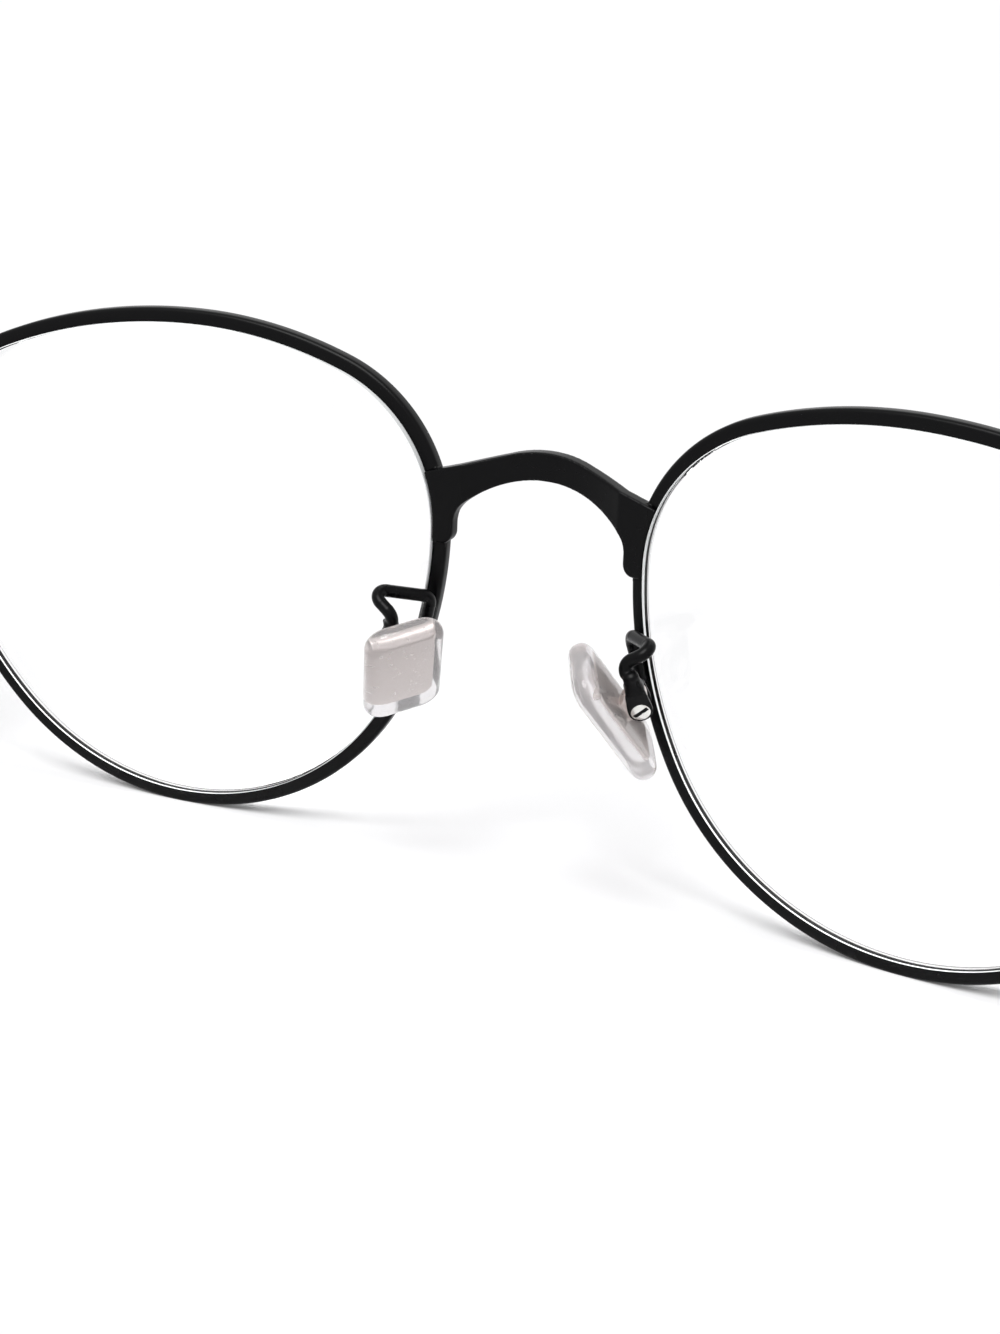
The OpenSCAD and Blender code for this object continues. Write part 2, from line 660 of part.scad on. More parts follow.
// Follows the temple's line from one length to another: straight, bend, straight
module temple_line(from, tail) {
    translate([0, 0, from]) linear_extrude(bend_start - from) children(0);
    translate([0, 0, bend_start]) linear_extrude(collar, center = true) children(1);
    translate([0, -ear_bend_r, bend_start]) rotate([0, 90, 0]) rotate([0, 0, 90])
        rotate_extrude(angle = ear_bend) translate([ear_bend_r, 0]) rotate(90) children(0);
    tail_frame() {
        linear_extrude(tail) children(0);
        linear_extrude(collar, center = true) children(1);
    }
}
module tail_frame() {
    translate([0, -ear_bend_r, bend_start]) rotate([ear_bend, 0, 0])
        translate([0, ear_bend_r, 0]) children();
}
module temple() {
    color("#17181a") placed() {
        difference() {
            temple_frame() translate([0, 0, -past]) linear_extrude(tip_start + past)
                oblong(bar_tall, strip_thick);
            translate([temple_x - past, -hinge_back - butt_gap + butt_ahead, hinge_z - past])
                cube([2 * past, 2 * past, 2 * past]);
        }
        temple_frame() temple_line(tip_start - lap, core_end) {
            circle(d = core_wire_d);
            circle(d = core_wire_d + hair);
        }
    }
}
module temple_tip() {
    color("#1b1c1e") placed() temple_frame() difference() {
        union() {
            temple_line(tip_start, tail_long) {
                oblong(tip_tall, tip_thick);
                oblong(tip_tall + hair, tip_thick + hair);
            }
            tail_frame() translate([0, 0, tail_long]) rotate([0, 90, 0]) rotate_extrude() {
                t = tip_thick + hair;
                translate([0, -t / 2]) square([(tip_tall - t) / 2, t]);
                translate([(tip_tall - t) / 2, 0]) circle(d = t);
            }
        }
        temple_line(tip_start - 2 * lap, core_end) {
            circle(d = core_wire_d + 2 * tip_clearance);
            circle(d = core_wire_d + 2 * tip_clearance + hair);
        }
    }
}

bridge();
rim();  // rim_right
left_side() rim();  // rim_left
lens();  // lens_right
left_side() lens();  // lens_left
pad_arm(0, 0);  // pad_arm_right
left_side() pad_arm(left_pad_turn, left_loop_rise);  // pad_arm_left
pad_box(0);  // pad_box_right
left_side() pad_box(left_pad_turn);  // pad_box_left
pad_screw(0);  // pad_screw_right
left_side() pad_screw(left_pad_turn);  // pad_screw_left
pad_core(0);  // pad_core_right
left_side() pad_core(left_pad_turn);  // pad_core_left
nose_pad(0);  // nose_pad_right
left_side() nose_pad(left_pad_turn);  // nose_pad_left
end_piece();  // end_piece_right
left_side() end_piece();  // end_piece_left
closing_block();  // closing_block_right
left_side() closing_block();  // closing_block_left
closing_screw();  // closing_screw_right
left_side() closing_screw();  // closing_screw_left
hinge_front();  // hinge_front_right
left_side() hinge_front();  // hinge_front_left
hinge_screw();  // hinge_screw_right
left_side() hinge_screw();  // hinge_screw_left
hinge_temple();  // hinge_temple_right
left_side() hinge_temple();  // hinge_temple_left
temple();  // temple_right
left_side() temple();  // temple_left
temple_tip();  // temple_tip_right
left_side() temple_tip();  // temple_tip_left
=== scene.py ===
# Full-rim metal spectacles: matte black wire front, clear lenses, silicone nose pads
import math
import bpy
import bmesh
from mathutils import Matrix, Vector


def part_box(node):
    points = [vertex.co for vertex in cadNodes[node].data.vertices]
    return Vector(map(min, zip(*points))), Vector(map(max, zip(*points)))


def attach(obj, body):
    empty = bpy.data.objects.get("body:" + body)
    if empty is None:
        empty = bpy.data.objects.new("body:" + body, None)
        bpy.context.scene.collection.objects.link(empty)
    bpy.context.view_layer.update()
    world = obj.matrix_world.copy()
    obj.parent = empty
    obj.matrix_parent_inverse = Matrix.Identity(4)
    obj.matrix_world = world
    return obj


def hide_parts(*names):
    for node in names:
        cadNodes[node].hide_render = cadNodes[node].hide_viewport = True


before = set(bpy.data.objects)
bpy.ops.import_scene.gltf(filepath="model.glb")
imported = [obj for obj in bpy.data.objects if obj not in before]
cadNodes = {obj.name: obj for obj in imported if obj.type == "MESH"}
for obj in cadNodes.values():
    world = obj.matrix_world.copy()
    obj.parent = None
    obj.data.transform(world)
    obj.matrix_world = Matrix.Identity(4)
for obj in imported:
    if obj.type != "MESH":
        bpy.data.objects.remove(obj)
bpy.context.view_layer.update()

mm = 0.001
sides = {"right": 1, "left": -1}
print("frame loaded:", len(cadNodes), "nodes")

# Small helpers


def linearColour(hexText):
    channels = [int(hexText[i:i + 2], 16) / 255 for i in (1, 3, 5)]
    return [c / 12.92 if c <= 0.04045 else ((c + 0.055) / 1.055) ** 2.4 for c in channels] + [1.0]


def addNode(tree, kind, inputs=None, **settings):
    node = tree.nodes.new(kind)
    for name, value in settings.items():
        setattr(node, name, value)
    for name, value in (inputs or {}).items():
        socket = node.inputs[name]
        if isinstance(value, bpy.types.NodeSocket):
            tree.links.new(value, socket)
        else:
            socket.default_value = value
    return node


def newMaterial(name):
    material = bpy.data.materials.new(name)
    material.use_nodes = True
    material.node_tree.nodes.clear()
    return material, material.node_tree


def newObject(name, data):
    piece = bpy.data.objects.new(name, data)
    bpy.context.scene.collection.objects.link(piece)
    return piece


def meshFromRings(name, rings):
    # rings of equally many points, joined into a skin and capped at both ends
    bm = bmesh.new()
    rows = [[bm.verts.new(p) for p in ring] for ring in rings]
    count = len(rows[0])
    for below, above in zip(rows, rows[1:]):
        for i in range(count):
            j = (i + 1) % count
            bm.faces.new((below[i], below[j], above[j], above[i]))
    bm.faces.new(list(reversed(rows[0])))
    bm.faces.new(rows[-1])
    bmesh.ops.recalc_face_normals(bm, faces=bm.faces)
    mesh = bpy.data.meshes.new(name)
    bm.to_mesh(mesh)
    bm.free()
    return mesh


def mirroredMesh(mesh, name):
    copy = mesh.copy()
    copy.name = name
    copy.transform(Matrix.Scale(-1, 4, Vector((1, 0, 0))))
    copy.flip_normals()
    return copy


def smoothFaces(mesh, sharpDegrees):
    mesh.shade_smooth()
    mesh.set_sharp_from_angle(angle=math.radians(sharpDegrees))


def finishPiece(name, mesh, body, slot, *nodes):
    piece = newObject(name, mesh)
    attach(piece, body)
    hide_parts(*nodes)


# The rim's line and its place, repeated from the part's source in millimetres and degrees
front = {
    "boxWidth": 50.8,
    "boxHeight": 44.9,
    "gap": 18.4,  # between the two boxes
    "wrap": 4.6,  # how far each lens turns out towards the ear
    "topX": -2.5,  # highest and lowest point, from the lens middle
    "bottomX": -0.2,
    "earSideZ": 6.0,  # height of the widest points
    "noseSideZ": 6.8,
    "splits": (23.6, 20.0, 62.1, 44.5),  # upper or lower arc of each quarter: top ear, top nose, low nose, low ear
    "bowFront": 4.1,  # the bridge's bow stands this far ahead of the lens plane
    "hingeRise": 6.3,
    "endTall": 3.0,
    "rimSplit": 0.15,  # the saw cut in the closing block
}
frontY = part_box("bridge")[1].y / mm - front["bowFront"]
lensZ = (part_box("rim_right")[0].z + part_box("rim_right")[1].z) / 2 / mm
lensX = front["gap"] / 2 + front["boxWidth"] / 2 * math.cos(math.radians(front["wrap"]))

# Camera, lights and floor

view = {
    "aside": 79.44,  # the lens's place in mm: right of the middle, behind the lens plane, above the lens middle
    "behind": 171.82,
    "above": 64.71,
    "azimuth": 25.44,
    "elevation": 19.80,
    "roll": 2.35,
    "focalPixels": 2388.6,  # focal length in pixels of a frame 1334 pixels high
    "framePixels": 1334,
    "sensorWide": 36,
    "clipStart": 0.005,
}


def makeCamera():
    a, e, roll = (math.radians(view[k]) for k in ("azimuth", "elevation", "roll"))
    look = Vector((-math.sin(a) * math.cos(e), math.cos(a) * math.cos(e), -math.sin(e)))
    level = Vector((math.cos(a), math.sin(a), 0))
    upright = level.cross(look)
    right = level * math.cos(roll) + upright * math.sin(roll)
    up = upright * math.cos(roll) - level * math.sin(roll)
    data = bpy.data.cameras.new("camera")
    data.sensor_width = view["sensorWide"]
    data.lens = view["focalPixels"] / view["framePixels"] * data.sensor_width
    data.clip_start = view["clipStart"]
    camera = newObject("camera", data)
    turn = Matrix((right, up, -look)).transposed()
    place = Vector((view["aside"], frontY - view["behind"], lensZ + view["above"])) * mm
    camera.matrix_world = Matrix.Translation(place) @ turn.to_4x4()
    bpy.context.scene.camera = camera


studio = {
    "worldLevel": 0.24,
    "keyStrength": 3.1,
    "keySpread": 40,  # degrees across, as wide as a large softbox looks
    "keyTilt": (34, 3),  # it hangs above and a little behind the camera
    "floorSize": 12.0,
    "floorColour": "#f1f1f2",
    "floorLift": 0.085,  # brings the unshaded floor to white for eyes, mirrors and glass
}


def eyeRays(tree):
    # 1 for rays from the camera, from gloss and through glass, else 0
    path = addNode(tree, "ShaderNodeLightPath")
    first = addNode(tree, "ShaderNodeMath", {0: path.outputs["Is Camera Ray"], 1: path.outputs["Is Glossy Ray"]},
                    operation="MAXIMUM")
    return addNode(tree, "ShaderNodeMath", {0: first.outputs[0], 1: path.outputs["Is Transmission Ray"]},
                   operation="MAXIMUM").outputs[0]


def makeStudio():
    world = bpy.data.worlds.new("studio")
    bpy.context.scene.world = world
    world.use_nodes = True
    tree = world.node_tree
    tree.nodes.clear()
    level = addNode(tree, "ShaderNodeMapRange", {"Value": eyeRays(tree), "To Min": studio["worldLevel"],
                                                 "To Max": 1.0})
    sky = addNode(tree, "ShaderNodeBackground", {"Color": (1, 1, 1, 1), "Strength": level.outputs[0]})
    addNode(tree, "ShaderNodeOutputWorld", {"Surface": sky.outputs[0]})

    material, tree = newMaterial("whiteSweep")
    paper = addNode(tree, "ShaderNodeBsdfDiffuse", {"Color": linearColour(studio["floorColour"])})
    lift = addNode(tree, "ShaderNodeMath", {0: eyeRays(tree), 1: studio["floorLift"]}, operation="MULTIPLY")
    glow = addNode(tree, "ShaderNodeEmission", {"Strength": lift.outputs[0]})
    both = addNode(tree, "ShaderNodeAddShader", {0: paper.outputs[0], 1: glow.outputs[0]})
    addNode(tree, "ShaderNodeOutputMaterial", {"Surface": both.outputs[0]})
    half = studio["floorSize"] / 2
    mesh = bpy.data.meshes.new("floor")
    mesh.from_pydata([(-half, -half, 0), (half, -half, 0), (half, half, 0), (-half, half, 0)], [], [(0, 1, 2, 3)])
    floor = newObject("floor", mesh)
    floor.data.materials.append(material)

    data = bpy.data.lights.new("softLight", "SUN")
    data.angle = math.radians(studio["keySpread"])
    data.energy = studio["keyStrength"]
    lamp = newObject("softLight", data)
    lamp.rotation_euler = [math.radians(t) for t in studio["keyTilt"]] + [0]
    lamp.visible_transmission = False  # its disc doesn't show through the lenses and pads
    bpy.context.scene.view_settings.view_transform = "Standard"


makeCamera()
makeStudio()
print("camera and studio ready")

# Materials

noiseLow, noiseHigh = 0.3, 0.7  # nearly all of a noise texture lies between these


def unevenGloss(tree, place, patch, detail, low, high):
    # roughness that wanders from low to high over patches of a size in millimetres
    noise = addNode(tree, "ShaderNodeTexNoise", {"Vector": place, "Scale": 1 / (patch * mm), "Detail": detail})
    return addNode(tree, "ShaderNodeMapRange", {"Value": noise.outputs["Fac"], "From Min": noiseLow,
                                                "From Max": noiseHigh, "To Min": low, "To Max": high}).outputs[0]


lacquer = {
    "colour": "#040405",
    "specular": 0.11,
    "patch": 2.5,  # mm across a duller or shinier patch
    "patchDetail": 2.0,
    "smoothest": 0.26,
    "roughest": 0.34,
    "grain": 0.12,  # mm across one bump of the orange peel
    "grainDetail": 3.0,
    "relief": 0.01,  # mm
    "reliefStrength": 0.25,
}


def matteLacquer():
    # sprayed black lacquer on nickel alloy wire: a fine orange-peel grain that breaks up every highlight
    material, tree = newMaterial("matteBlackLacquer")
    place = addNode(tree, "ShaderNodeTexCoord").outputs["Object"]
    grain = addNode(tree, "ShaderNodeTexNoise", {"Vector": place, "Scale": 1 / (lacquer["grain"] * mm),
                                                 "Detail": lacquer["grainDetail"]})
    relief = addNode(tree, "ShaderNodeBump", {"Height": grain.outputs["Fac"], "Strength": lacquer["reliefStrength"],
                                              "Distance": lacquer["relief"] * mm})
    rough = unevenGloss(tree, place, lacquer["patch"], lacquer["patchDetail"], lacquer["smoothest"],
                        lacquer["roughest"])
    paint = addNode(tree, "ShaderNodeBsdfPrincipled", {
        "Base Color": linearColour(lacquer["colour"]), "Roughness": rough, "Normal": relief.outputs[0],
        "Specular IOR Level": lacquer["specular"]})
    addNode(tree, "ShaderNodeOutputMaterial", {"Surface": paint.outputs[0]})
    return material


def clearResin(name, ior, tint, roughness, haze):
    # solid clear plastic that lets lamps through, so that what is behind it isn't in the dark; haze makes it milky
    material, tree = newMaterial(name)
    solid = addNode(tree, "ShaderNodeBsdfPrincipled", {
        "Base Color": linearColour(tint), "Roughness": roughness, "IOR": ior, "Transmission Weight": 1 - haze})
    gap = addNode(tree, "ShaderNodeBsdfTransparent", {"Color": linearColour(tint)})
    path = addNode(tree, "ShaderNodeLightPath")
    mix = addNode(tree, "ShaderNodeMixShader", {0: path.outputs["Is Shadow Ray"], 1: solid.outputs[0],
                                                2: gap.outputs[0]})
    addNode(tree, "ShaderNodeOutputMaterial", {"Surface": mix.outputs[0]})
    return material


def groundEdge(colour, roughness, specular):
    # lens edge ground by the wheel: white and matt, it catches light from inside the lens
    material, tree = newMaterial("groundLensEdge")
    edge = addNode(tree, "ShaderNodeBsdfPrincipled", {
        "Base Color": linearColour(colour), "Roughness": roughness, "Specular IOR Level": specular})
    addNode(tree, "ShaderNodeOutputMaterial", {"Surface": edge.outputs[0]})
    return material


scuffs = {"patch": 0.4, "detail": 4.0, "spread": 0.06}  # mm across, and how far they move the roughness


def platedMetal(name, colour, roughness):
    # turned or pressed metal with a worn shine: fine scuffs keep its reflections soft and uneven
    material, tree = newMaterial(name)
    place = addNode(tree, "ShaderNodeTexCoord").outputs["Object"]
    rough = unevenGloss(tree, place, scuffs["patch"], scuffs["detail"], roughness - scuffs["spread"],
                        roughness + scuffs["spread"])
    metal = addNode(tree, "ShaderNodeBsdfPrincipled", {
        "Base Color": linearColour(colour), "Metallic": 1.0, "Roughness": rough})
    addNode(tree, "ShaderNodeOutputMaterial", {"Surface": metal.outputs[0]})
    return material


acetate = {
    "colour": "#111113",
    "roughness": 0.22,
    "ior": 1.48,
    "wave": 6,  # mm from one low wave of the tumbled surface to the next
    "waveDetail": 1.0,
    "relief": 0.1,  # mm
    "reliefStrength": 0.1,
}


def tipAcetate():
    # cellulose acetate, tumbled to a soft polish: long highlights that waver a little
    material, tree = newMaterial("polishedAcetate")
    place = addNode(tree, "ShaderNodeTexCoord").outputs["Object"]
    waves = addNode(tree, "ShaderNodeTexNoise", {"Vector": place, "Scale": 1 / (acetate["wave"] * mm),
                                                 "Detail": acetate["waveDetail"]})
    relief = addNode(tree, "ShaderNodeBump", {"Height": waves.outputs["Fac"], "Strength": acetate["reliefStrength"],
                                              "Distance": acetate["relief"] * mm})
    shell = addNode(tree, "ShaderNodeBsdfPrincipled", {
        "Base Color": linearColour(acetate["colour"]), "Roughness": acetate["roughness"],
        "Normal": relief.outputs[0], "IOR": acetate["ior"]})
    addNode(tree, "ShaderNodeOutputMaterial", {"Surface": shell.outputs[0]})
    return material


finishes = {
    "lacquer": matteLacquer(),
    "lens": clearResin("clearLensResin", ior=1.5, tint="#ffffff", roughness=0.0, haze=0.0),
    "edge": groundEdge(colour="#f4f6f6", roughness=0.7, specular=0.2),
    "screw": platedMetal("nickelScrew", colour="#d8d7d3", roughness=0.24),
    "core": platedMetal("satinCoreMetal", colour="#d6cdc9", roughness=0.32),
    "silicone": clearResin("milkySilicone", ior=1.41, tint="#f6f4f5", roughness=0.12, haze=0.2),
    "acetate": tipAcetate(),
}
print("materials ready:", len(finishes))

# The rim's line


def quadrantArcs(px, pz, sx, sz, w, h, split, start):
    # a quarter of the line as two arcs with one tangent: centre x and z, radius, first and last degree
    s = math.radians(split)
    both = math.sin(s) + math.cos(s) - 1
    nearR = (w * math.cos(s) - h * (1 - math.sin(s))) / both
    sideR = (h * math.sin(s) - w * (1 - math.cos(s))) / both
    near = (px, pz - sz * nearR, nearR)
    side = (px + sx * (nearR - sideR) * math.sin(s), near[1] + sz * (nearR - sideR) * math.cos(s), sideR)
    if sx * sz > 0:
        return [(*side, start, start + 90 - split), (*near, start + 90 - split, start + 90)]
    return [(*near, start, start + split), (*side, start + split, start + 90)]


def rimArcs():
    w, h = front["boxWidth"] / 2, front["boxHeight"] / 2
    top, low, ear, nose = (front[k] for k in ("topX", "bottomX", "earSideZ", "noseSideZ"))
    s = front["splits"]
    return (quadrantArcs(top, h, 1, 1, w - top, h - ear, s[0], 0)
            + quadrantArcs(top, h, -1, 1, w + top, h - nose, s[1], 90)
            + quadrantArcs(low, -h, -1, -1, w + low, h + nose, s[2], 180)
            + quadrantArcs(low, -h, 1, -1, w - low, h + ear, s[3], 270))


def rimLine(count, offset=0.0, first=0.0, last=0.0):
    # points (x, z) at even steps along the line, from a distance past its ear side to one short of it
    arcs = rimArcs()
    total = sum(a[2] * math.radians(a[4] - a[3]) for a in arcs)
    steps = count if last == 0 and first == 0 else count - 1
    points = []
    for k in range(count):
        s = (first + (total - first - last) * k / steps) % total
        for x, z, r, start, end in arcs:
            run = r * math.radians(end - start)
            if s <= run:
                break
            s -= run
        t = math.radians(start) + s / r
        points.append((x + (r + offset) * math.cos(t), z + (r + offset) * math.sin(t)))
    return points


def lensPlace():
    # from the right lens's own axes (x out, y up, z back) to the frame, with millimetres made metres
    turn = Matrix.Rotation(math.radians(-front["wrap"]), 4, "Z") @ Matrix.Rotation(math.radians(90), 4, "X")
    return Matrix.Scale(mm, 4) @ Matrix.Translation((lensX, frontY, lensZ)) @ turn


# Geometry Nodes that sweep a wire's cross-section along a path


def newTree(name, inputs, result):
    # a tree with named inputs, each given by its kind of socket and its default; the first is the object's own line
    tree = bpy.data.node_groups.new(name, "GeometryNodeTree")
    for label, (kind, default) in inputs.items():
        socket = tree.interface.new_socket(label, in_out="INPUT", socket_type="NodeSocket" + kind)
        if default is not None:
            socket.default_value = default
    tree.interface.new_socket(result, in_out="OUTPUT", socket_type="NodeSocketGeometry")
    return tree, addNode(tree, "NodeGroupInput").outputs


def sweepTree():
    tree, given = newTree("sweptWire", {
        "Path": ("Geometry", None), "Profile": ("Object", None), "Thickness": ("Float", 1.0), "Depth": ("Float", 1.0),
        "Material": ("Material", None)}, "Wire")
    size = addNode(tree, "ShaderNodeCombineXYZ", {"X": given["Thickness"], "Y": given["Depth"], "Z": 1.0})
    shape = addNode(tree, "GeometryNodeObjectInfo", {"Object": given["Profile"]})
    profile = addNode(tree, "GeometryNodeTransform", {"Geometry": shape.outputs["Geometry"],
                                                      "Scale": size.outputs[0]})
    skin = addNode(tree, "GeometryNodeCurveToMesh", {"Curve": given["Path"], "Profile Curve": profile.outputs[0],
                                                     "Fill Caps": True})
    real = addNode(tree, "GeometryNodeRealizeInstances", {"Geometry": skin.outputs[0]})
    done = addNode(tree, "GeometryNodeSetMaterial", {"Geometry": real.outputs[0], "Material": given["Material"]})
    addNode(tree, "NodeGroupOutput", {"Wire": done.outputs[0]})
    return tree


def lineObject(name, points, closed):
    curve = bpy.data.curves.new(name, "CURVE")
    curve.dimensions = "3D"
    line = curve.splines.new("POLY")
    line.points.add(len(points) - 1)
    for point, place in zip(line.points, points):
        point.co = (*place, 1)
    line.use_cyclic_u = closed
    return newObject(name, curve)


def runTree(source, tree, values):
    # the evaluated tree as a plain mesh; the source object and its modifier go
    modifier = source.modifiers.new(tree.name, "NODES")
    modifier.node_group = tree
    sockets = {item.name: item.identifier for item in tree.interface.items_tree if item.in_out == "INPUT"}
    for name, value in values.items():
        modifier[sockets[name]] = value
    source.update_tag()
    graph = bpy.context.evaluated_depsgraph_get()
    mesh = bpy.data.meshes.new_from_object(source.evaluated_get(graph))
    source.modifiers.clear()
    bpy.data.objects.remove(source)
    return mesh


def roundedProfile(corners, steps=5):
    # corners (x, y, radius) in order against the clock; each with a radius becomes a short arc
    points = []
    for i, (x, y, radius) in enumerate(corners):
        here = Vector((x, y))
        if radius == 0:
            points.append((x, y))
            continue
        before = (Vector(corners[i - 1][:2]) - here).normalized()
        after = (Vector(corners[(i + 1) % len(corners)][:2]) - here).normalized()
        half = before.angle(after) / 2
        centre = here + (before + after).normalized() * (radius / math.sin(half))
        start = here + before * (radius / math.tan(half)) - centre
        sweep = math.pi - 2 * half
        for k in range(steps + 1):
            t = sweep * k / steps
            p = centre + Vector((start.x * math.cos(t) - start.y * math.sin(t),
                                 start.x * math.sin(t) + start.y * math.cos(t)))
            points.append((p.x, p.y))
    return points


wire = {
    "thick": 1.2,
    "depth": 1.2,
    "frontMore": 0.25,  # the front stands this much further ahead of the groove than the back stands behind it
    "outerRound": 0.38,
    "lipRound": 0.05,
    "grooveDeep": 0.42,
    "grooveHalf": 0.45,
    "steps": 420,
    "sharp": 32,  # degrees between faces from which an edge stays sharp
    "stubSteps": 600,
    "stubHidden": 0.05,  # how far a stub for the brazed joints lies inside the wire
}


def sweptLength(name, corners, line):
    # a length of rim wire along points (x, z); the cross-section is handed over in shares of its two sizes
    shape = [(x / wire["thick"], y / wire["depth"], 0) for x, y in roundedProfile(corners)]
    profile = lineObject(name + "Profile", shape, True)
    path = lineObject(name + "Path", [(x, z, 0) for x, z in line], False)
    mesh = runTree(path, sweptWire, {"Profile": profile, "Thickness": wire["thick"], "Depth": wire["depth"],
                                     "Material": finishes["lacquer"]})
    bpy.data.objects.remove(profile)
    mesh.transform(lensPlace())
    return mesh


def makeRims():
    t, d, groove = wire["thick"] / 2, wire["depth"] / 2, wire["grooveHalf"]
    fore = d + wire["frontMore"]
    corners = [(t, -d, wire["outerRound"]), (t, fore, wire["outerRound"]), (-t, fore, wire["lipRound"]),
               (-t, groove, 0), (wire["grooveDeep"] - t, 0, 0), (-t, -groove, 0), (-t, -d, wire["lipRound"])]
    above = front["earSideZ"] - (front["hingeRise"] - front["endTall"] / 2)
    mesh = sweptLength("rim", corners, rimLine(wire["steps"], first=-above, last=above + front["rimSplit"]))
    smoothFaces(mesh, wire["sharp"])
    for side in sides:
        finishPiece("rimWire_" + side, mesh if side == "right" else mirroredMesh(mesh, "rimWire_left"),
                    "front", "frame_paint", "rim_" + side)
    print("rims swept:", len(mesh.polygons), "faces each")


def rimStub(low, high):
    # a short length of the rim's outer band on the nose side, for the brazed joints to melt into
    t, d, hidden = wire["thick"] / 2, wire["depth"] / 2, wire["stubHidden"]
    band = [(t - hidden, -d + hidden, 0), (t - hidden, d - hidden, 0), (0, d - hidden, 0), (0, -d + hidden, 0)]
    return sweptLength("stub", band, [(x, z) for x, z in rimLine(wire["stubSteps"]) if x < 0 and low < z < high])


# Lenses

blank = {
    "radius": 260.0,  # of the front face
    "thick": 1.75,
    "apex": 1.897,  # the front face's middle stands this far ahead of the rim's groove
    "edgeGap": 0.025,
    "chamfer": 0.06,
    "bevelHalf": 0.38,  # the bevel that sits in the groove
    "bevelDeep": 0.38,
    "count": 288,
    "shares": (0.15, 0.3, 0.45, 0.6, 0.75, 0.88, 0.96),  # where the faces' rings lie between middle and edge
    "sharp": 20,
}


def makeLenses():
    edge = -wire["thick"] / 2 - blank["edgeGap"]
    middle = blank["apex"] - blank["radius"]
    c, shares = blank["chamfer"], blank["shares"]

    def onFront(x, z):
        return middle + math.sqrt(blank["radius"] ** 2 - x * x - z * z)

    def onBack(x, z):
        return middle + math.sqrt((blank["radius"] - blank["thick"]) ** 2 - x * x - z * z)

    def ring(offset, depthAt, share=1.0):
        return [(x * share, z * share, -depthAt(x * share, z * share)) for x, z in rimLine(blank["count"], offset)]

    rings = [ring(edge - c, onFront, s) for s in shares] + [
        ring(edge - c, onFront),
        ring(edge, lambda x, z: onFront(x, z) - c),
        ring(edge, lambda x, z: blank["bevelHalf"]),
        ring(edge + blank["bevelDeep"], lambda x, z: 0),
        ring(edge, lambda x, z: -blank["bevelHalf"]),
        ring(edge, lambda x, z: onBack(x, z) + c),
        ring(edge - c, onBack),
    ] + [ring(edge - c, onBack, s) for s in reversed(shares)]
    mesh = meshFromRings("lensBlank_right", rings)
    mesh.transform(lensPlace())
    mesh.materials.append(finishes["lens"])
    mesh.materials.append(finishes["edge"])
    rearFlat = len(shares) + 4  # the flat behind the bevel; the chamfer comes after it
    for face in mesh.polygons:
        face.material_index = 1 if face.index // blank["count"] in (rearFlat, rearFlat + 1) else 0
    smoothFaces(mesh, blank["sharp"])
    for side in sides:
        finishPiece("lensBlank_" + side, mesh if side == "right" else mirroredMesh(mesh, "lensBlank_left"),
                    "front", "lens", "lens_" + side)
    print("lenses made:", len(mesh.polygons), "faces each")


# Brazed and worn pieces


def meltedPiece(name, nodes, extra, voxel, rounds, place=Matrix.Scale(mm, 4)):
    # merged copies of the solids in one skin, with corners worn round and inner corners filled, as brazing does
    bm = bmesh.new()
    for mesh in [cadNodes[node].data for node in nodes] + extra:
        bm.from_mesh(mesh)
    bmesh.ops.remove_doubles(bm, verts=bm.verts, dist=1e-7)
    mesh = bpy.data.meshes.new(name)
    bm.to_mesh(mesh)
    bm.free()
    mesh.materials.clear()
    mesh.transform(place.inverted())  # voxels work best on a draft in millimetres
    draft = newObject(name + "Draft", mesh)
    remesh = draft.modifiers.new("melt", "REMESH")
    remesh.mode = "VOXEL"
    remesh.voxel_size = voxel
    soft = draft.modifiers.new("soften", "SMOOTH")
    soft.iterations = rounds
    graph = bpy.context.evaluated_depsgraph_get()
    melted = bpy.data.meshes.new_from_object(draft.evaluated_get(graph))
    bpy.data.objects.remove(draft)
    melted.transform(place)
    melted.name = name
    melted.shade_smooth()
    return melted


bridge = {"stubLow": 4.4, "stubHigh": 13.2, "voxel": 0.09, "softening": 18}


def makeBridge():
    stub = rimStub(bridge["stubLow"], bridge["stubHigh"])
    other = mirroredMesh(stub, "stubLeft")
    mesh = meltedPiece("bridgeArch", ["bridge"], [stub, other], bridge["voxel"], bridge["softening"])
    mesh.materials.append(finishes["lacquer"])
    finishPiece("bridgeArch", mesh, "front", "frame_paint", "bridge")
    print("bridge melted:", len(mesh.polygons), "faces")


hardware = {
    "voxel": 0.08,
    "softening": 5,
    "nodes": {"end_piece": "front", "closing_block": "front", "hinge_front": "front",
              "hinge_temple": "temple_SIDE_body"},  # each node and the body it rides on
}


def makeHardware():
    for node, body in hardware["nodes"].items():
        for side in sides:
            words = node.split("_")
            name = words[0] + words[1].capitalize() + "_" + side
            mesh = meltedPiece(name, [node + "_" + side], [], hardware["voxel"], hardware["softening"])
            mesh.materials.append(finishes["lacquer"])
            finishPiece(name, mesh, body.replace("SIDE", side), "frame_paint", node + "_" + side)
    print("end pieces and hinges worn round")


# Nose pads

nosePad = {
    "x": 9.67, "y": -3.62, "z": -4.29,  # its middle: right, ahead of the lens plane, above the lens middle
    "lean": 33.2, "roll": 22.1, "toe": -59.0,
    "leftTurn": 16.0,  # the left pad stands turned about its length
    "long": 12.7, "wide": 6.9, "thick": 2.25,
    "corner": 2.0, "edge": 1.0,
    "crown": 0.06,  # both faces are a little fuller in the middle
    "bow": 0.22,  # and the nose face falls back towards its ends
    "crownShares": (0.3, 0.6, 0.8, 0.93),
    "cornerSteps": 10, "edgeSteps": 7, "sharp": 35,
    "axisBack": 2.3, "axisDrop": 0.5,  # the screw's axis, away from the nose and below the middle
}


